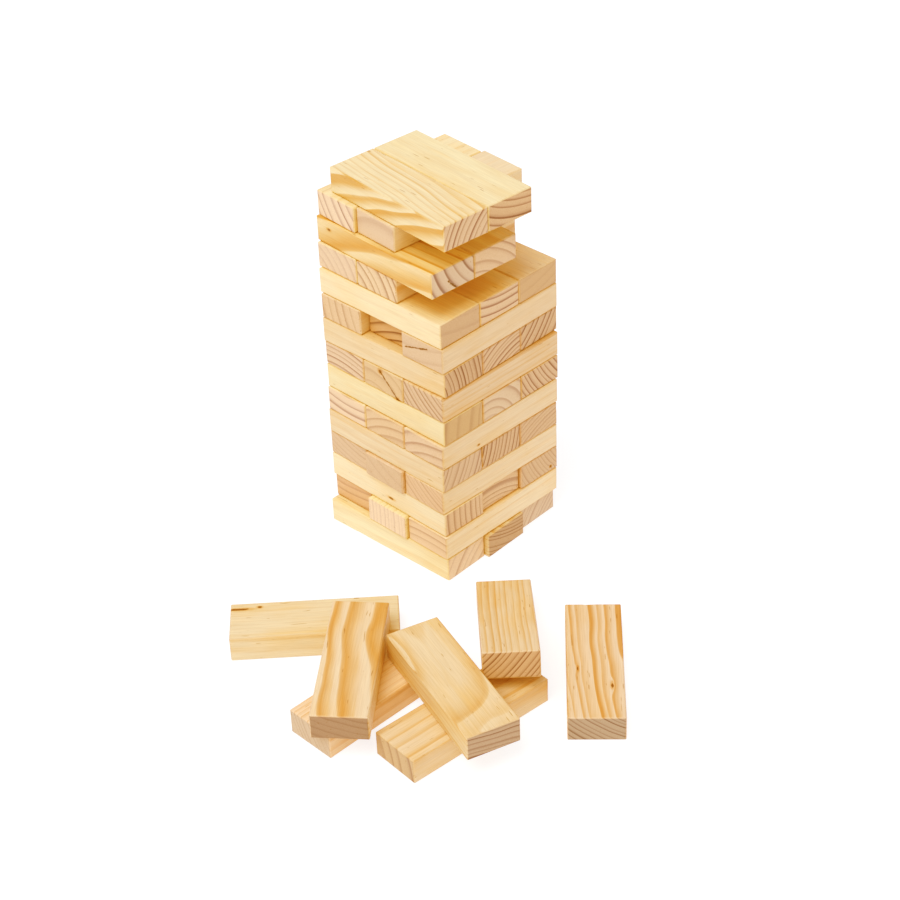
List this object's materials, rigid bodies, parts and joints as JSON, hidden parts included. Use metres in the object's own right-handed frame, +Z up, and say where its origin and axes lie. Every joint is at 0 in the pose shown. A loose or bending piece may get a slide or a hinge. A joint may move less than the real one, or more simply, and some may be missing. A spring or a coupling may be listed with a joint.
{
  "type": "tumbling tower game",
  "caption": "A giant tumbling tower of plain pine blocks in crosswise rows, part-way through a game, with loose blocks lying beside it.",
  "frame": {"origin": "on the ground under the middle of the stack, on the underside of the bottom row's middle block", "axes": "+Z up; odd rows run along X and even rows along Y; the loose blocks lie towards -Y and +X"},
  "size_m": [0.4147, 0.4076, 0.3734],
  "materials": {
    "pine_pale": "sanded, unvarnished",
    "pine_honey": "sanded, unvarnished",
    "pine_rosy": "sanded, unvarnished",
    "pine_amber": "sanded, unvarnished"
  },
  "bodies": {
    "row01_a": {"row01_a": "pine_pale"},
    "row01_b": {"row01_b": "pine_honey"},
    "row01_c": {"row01_c": "pine_pale"},
    "row02_a": {"row02_a": "pine_amber"},
    "row02_b": {"row02_b": "pine_pale"},
    "row02_c": {"row02_c": "pine_pale"},
    "row03_a": {"row03_a": "pine_pale"},
    "row03_b": {"row03_b": "pine_honey"},
    "row03_c": {"row03_c": "pine_rosy"},
    "row04_a": {"row04_a": "pine_honey"},
    "row04_b": {"row04_b": "pine_rosy"},
    "row04_c": {"row04_c": "pine_pale"},
    "row05_a": {"row05_a": "pine_honey"},
    "row05_b": {"row05_b": "pine_rosy"},
    "row05_c": {"row05_c": "pine_rosy"},
    "row06_a": {"row06_a": "pine_pale"},
    "row06_b": {"row06_b": "pine_honey"},
    "row06_c": {"row06_c": "pine_honey"},
    "row07_a": {"row07_a": "pine_pale"},
    "row07_b": {"row07_b": "pine_honey"},
    "row07_c": {"row07_c": "pine_honey"},
    "row08_a": {"row08_a": "pine_honey"},
    "row08_b": {"row08_b": "pine_honey"},
    "row08_c": {"row08_c": "pine_rosy"},
    "row09_a": {"row09_a": "pine_honey"},
    "row09_b": {"row09_b": "pine_rosy"},
    "row09_c": {"row09_c": "pine_rosy"},
    "row10_a": {"row10_a": "pine_honey"},
    "row10_b": {"row10_b": "pine_amber"},
    "row10_c": {"row10_c": "pine_rosy"},
    "row11_a": {"row11_a": "pine_pale"},
    "row11_b": {"row11_b": "pine_honey"},
    "row11_c": {"row11_c": "pine_honey"},
    "row12_a": {"row12_a": "pine_pale"},
    "row12_b": {"row12_b": "pine_honey"},
    "row13_a": {"row13_a": "pine_amber"},
    "row13_b": {"row13_b": "pine_honey"},
    "row14_a": {"row14_a": "pine_pale"},
    "row14_b": {"row14_b": "pine_honey"},
    "row15_a": {"row15_a": "pine_pale"},
    "row15_b": {"row15_b": "pine_pale"},
    "loose_a": {"loose_a": "pine_pale"},
    "loose_b": {"loose_b": "pine_honey"},
    "loose_c": {"loose_c": "pine_rosy"},
    "loose_d": {"loose_d": "pine_honey"},
    "loose_e": {"loose_e": "pine_honey"},
    "loose_f": {"loose_f": "pine_honey"},
    "loose_g": {"loose_g": "pine_rosy"}
  },
  "joints": [
    {"name": "slide_row01_a", "type": "slide", "parent": "row01_b", "child": "row01_a", "axis": [-0.999, -0.0436, 0], "range_m": [-0.04, 0.17]},
    {"name": "slide_row01_c", "type": "slide", "parent": "row01_b", "child": "row01_c", "axis": [-0.999, -0.0436, 0], "range_m": [-0.17, 0.17]},
    {"name": "slide_row02_a", "type": "slide", "parent": "row01_b", "child": "row02_a", "axis": [-0.0087, 1, 0], "range_m": [-0.17, 0.17]},
    {"name": "slide_row02_b", "type": "slide", "parent": "row01_b", "child": "row02_b", "axis": [-0.0087, 1, 0], "range_m": [-0.17, 0.17]},
    {"name": "slide_row02_c", "type": "slide", "parent": "row01_b", "child": "row02_c", "axis": [-0.0087, 1, 0], "range_m": [-0.115, 0.17]},
    {"name": "slide_row03_a", "type": "slide", "parent": "row01_b", "child": "row03_a", "axis": [-1, 0, 0], "range_m": [-0.17, 0.17]},
    {"name": "slide_row03_b", "type": "slide", "parent": "row01_b", "child": "row03_b", "axis": [-1, 0, 0], "range_m": [-0.17, 0.17]},
    {"name": "slide_row03_c", "type": "slide", "parent": "row01_b", "child": "row03_c", "axis": [-1, 0, 0], "range_m": [-0.17, 0.17]},
    {"name": "slide_row04_a", "type": "slide", "parent": "row01_b", "child": "row04_a", "axis": [0.0087, 1, 0], "range_m": [-0.17, 0.17]},
    {"name": "slide_row04_b", "type": "slide", "parent": "row01_b", "child": "row04_b", "axis": [0.0087, 1, 0], "range_m": [-0.17, 0.17]},
    {"name": "slide_row04_c", "type": "slide", "parent": "row01_b", "child": "row04_c", "axis": [0.0087, 1, 0], "range_m": [-0.17, 0.17]},
    {"name": "slide_row05_a", "type": "slide", "parent": "row01_b", "child": "row05_a", "axis": [-1, 0, 0], "range_m": [-0.17, 0.17]},
    {"name": "slide_row05_b", "type": "slide", "parent": "row01_b", "child": "row05_b", "axis": [-1, 0, 0], "range_m": [-0.17, 0.17]},
    {"name": "slide_row05_c", "type": "slide", "parent": "row01_b", "child": "row05_c", "axis": [-1, 0, 0], "range_m": [-0.17, 0.17]},
    {"name": "slide_row06_a", "type": "slide", "parent": "row01_b", "child": "row06_a", "axis": [0, 1, 0], "range_m": [-0.17, 0.17]},
    {"name": "slide_row06_b", "type": "slide", "parent": "row01_b", "child": "row06_b", "axis": [0, 1, 0], "range_m": [-0.17, 0.17]},
    {"name": "slide_row06_c", "type": "slide", "parent": "row01_b", "child": "row06_c", "axis": [0, 1, 0], "range_m": [-0.17, 0.17]},
    {"name": "slide_row07_a", "type": "slide", "parent": "row01_b", "child": "row07_a", "axis": [-1, -0.0087, 0], "range_m": [-0.17, 0.17]},
    {"name": "slide_row07_b", "type": "slide", "parent": "row01_b", "child": "row07_b", "axis": [-1, -0.0087, 0], "range_m": [-0.17, 0.17]},
    {"name": "slide_row07_c", "type": "slide", "parent": "row01_b", "child": "row07_c", "axis": [-1, -0.0087, 0], "range_m": [-0.17, 0.17]},
    {"name": "slide_row08_a", "type": "slide", "parent": "row01_b", "child": "row08_a", "axis": [-0.0087, 1, 0], "range_m": [-0.17, 0.17]},
    {"name": "slide_row08_b", "type": "slide", "parent": "row01_b", "child": "row08_b", "axis": [-0.0087, 1, 0], "range_m": [-0.17, 0.17]},
    {"name": "slide_row08_c", "type": "slide", "parent": "row01_b", "child": "row08_c", "axis": [-0.0087, 1, 0], "range_m": [-0.17, 0.17]},
    {"name": "slide_row09_a", "type": "slide", "parent": "row01_b", "child": "row09_a", "axis": [-0.9994, -0.0349, 0], "range_m": [-0.17, 0.17]},
    {"name": "slide_row09_b", "type": "slide", "parent": "row01_b", "child": "row09_b", "axis": [-0.9994, -0.0349, 0], "range_m": [-0.17, 0.17]},
    {"name": "slide_row09_c", "type": "slide", "parent": "row01_b", "child": "row09_c", "axis": [-0.9994, -0.0349, 0], "range_m": [-0.17, 0.17]},
    {"name": "slide_row10_a", "type": "slide", "parent": "row01_b", "child": "row10_a", "axis": [-0.0262, 0.9997, 0], "range_m": [-0.17, 0.17]},
    {"name": "slide_row10_b", "type": "slide", "parent": "row01_b", "child": "row10_b", "axis": [-0.0262, 0.9997, 0], "range_m": [-0.17, 0.17]},
    {"name": "slide_row10_c", "type": "slide", "parent": "row01_b", "child": "row10_c", "axis": [-0.0262, 0.9997, 0], "range_m": [-0.17, 0.17]},
    {"name": "slide_row11_a", "type": "slide", "parent": "row01_b", "child": "row11_a", "axis": [-0.9998, -0.0175, 0], "range_m": [-0.17, 0.17]},
    {"name": "slide_row11_b", "type": "slide", "parent": "row01_b", "child": "row11_b", "axis": [-0.9998, -0.0175, 0], "range_m": [-0.17, 0.17]},
    {"name": "slide_row11_c", "type": "slide", "parent": "row01_b", "child": "row11_c", "axis": [-0.9998, -0.0175, 0], "range_m": [-0.17, 0.17]},
    {"name": "slide_row12_a", "type": "slide", "parent": "row01_b", "child": "row12_a", "axis": [0, 1, 0], "range_m": [-0.17, 0.17]},
    {"name": "slide_row12_b", "type": "slide", "parent": "row01_b", "child": "row12_b", "axis": [0, 1, 0], "range_m": [-0.17, 0.17]},
    {"name": "slide_row13_a", "type": "slide", "parent": "row01_b", "child": "row13_a", "axis": [-0.999, 0.0436, 0], "range_m": [-0.17, 0.17]},
    {"name": "slide_row13_b", "type": "slide", "parent": "row01_b", "child": "row13_b", "axis": [-0.999, 0.0436, 0], "range_m": [-0.17, 0.17]},
    {"name": "slide_row14_a", "type": "slide", "parent": "row01_b", "child": "row14_a", "axis": [0.061, 0.9981, 0], "range_m": [-0.17, 0.17]},
    {"name": "slide_row14_b", "type": "slide", "parent": "row01_b", "child": "row14_b", "axis": [0.061, 0.9981, 0], "range_m": [-0.17, 0.17]},
    {"name": "slide_row15_a", "type": "slide", "parent": "row01_b", "child": "row15_a", "axis": [-0.9976, 0.0698, 0], "range_m": [-0.17, 0.17]},
    {"name": "slide_row15_b", "type": "slide", "parent": "row01_b", "child": "row15_b", "axis": [-0.9976, 0.0698, 0], "range_m": [-0.17, 0.17]},
    {"name": "pull_loose_a", "type": "slide", "parent": "row01_b", "child": "loose_a", "axis": [-0.6756, -0.7373, 0], "range_m": [0, 0.16]},
    {"name": "lift_loose_b", "type": "slide", "parent": "row01_b", "child": "loose_b", "axis": [0, 0, 1], "range_m": [0, 0.12]},
    {"name": "pull_loose_c", "type": "slide", "parent": "row01_b", "child": "loose_c", "axis": [-0.0087, -1, 0], "range_m": [0, 0.16]},
    {"name": "lift_loose_d", "type": "slide", "parent": "row01_b", "child": "loose_d", "axis": [0, 0, 1], "range_m": [0, 0.12]},
    {"name": "pull_loose_e", "type": "slide", "parent": "row01_b", "child": "loose_e", "axis": [-0.0785, -0.9969, 0], "range_m": [0, 0.16]},
    {"name": "lift_loose_f", "type": "slide", "parent": "row01_b", "child": "loose_f", "axis": [0, 0, 1], "range_m": [0, 0.12]},
    {"name": "pull_loose_g", "type": "slide", "parent": "row01_b", "child": "loose_g", "axis": [0.682, -0.7314, 0], "range_m": [0, 0.16]}
  ]
}
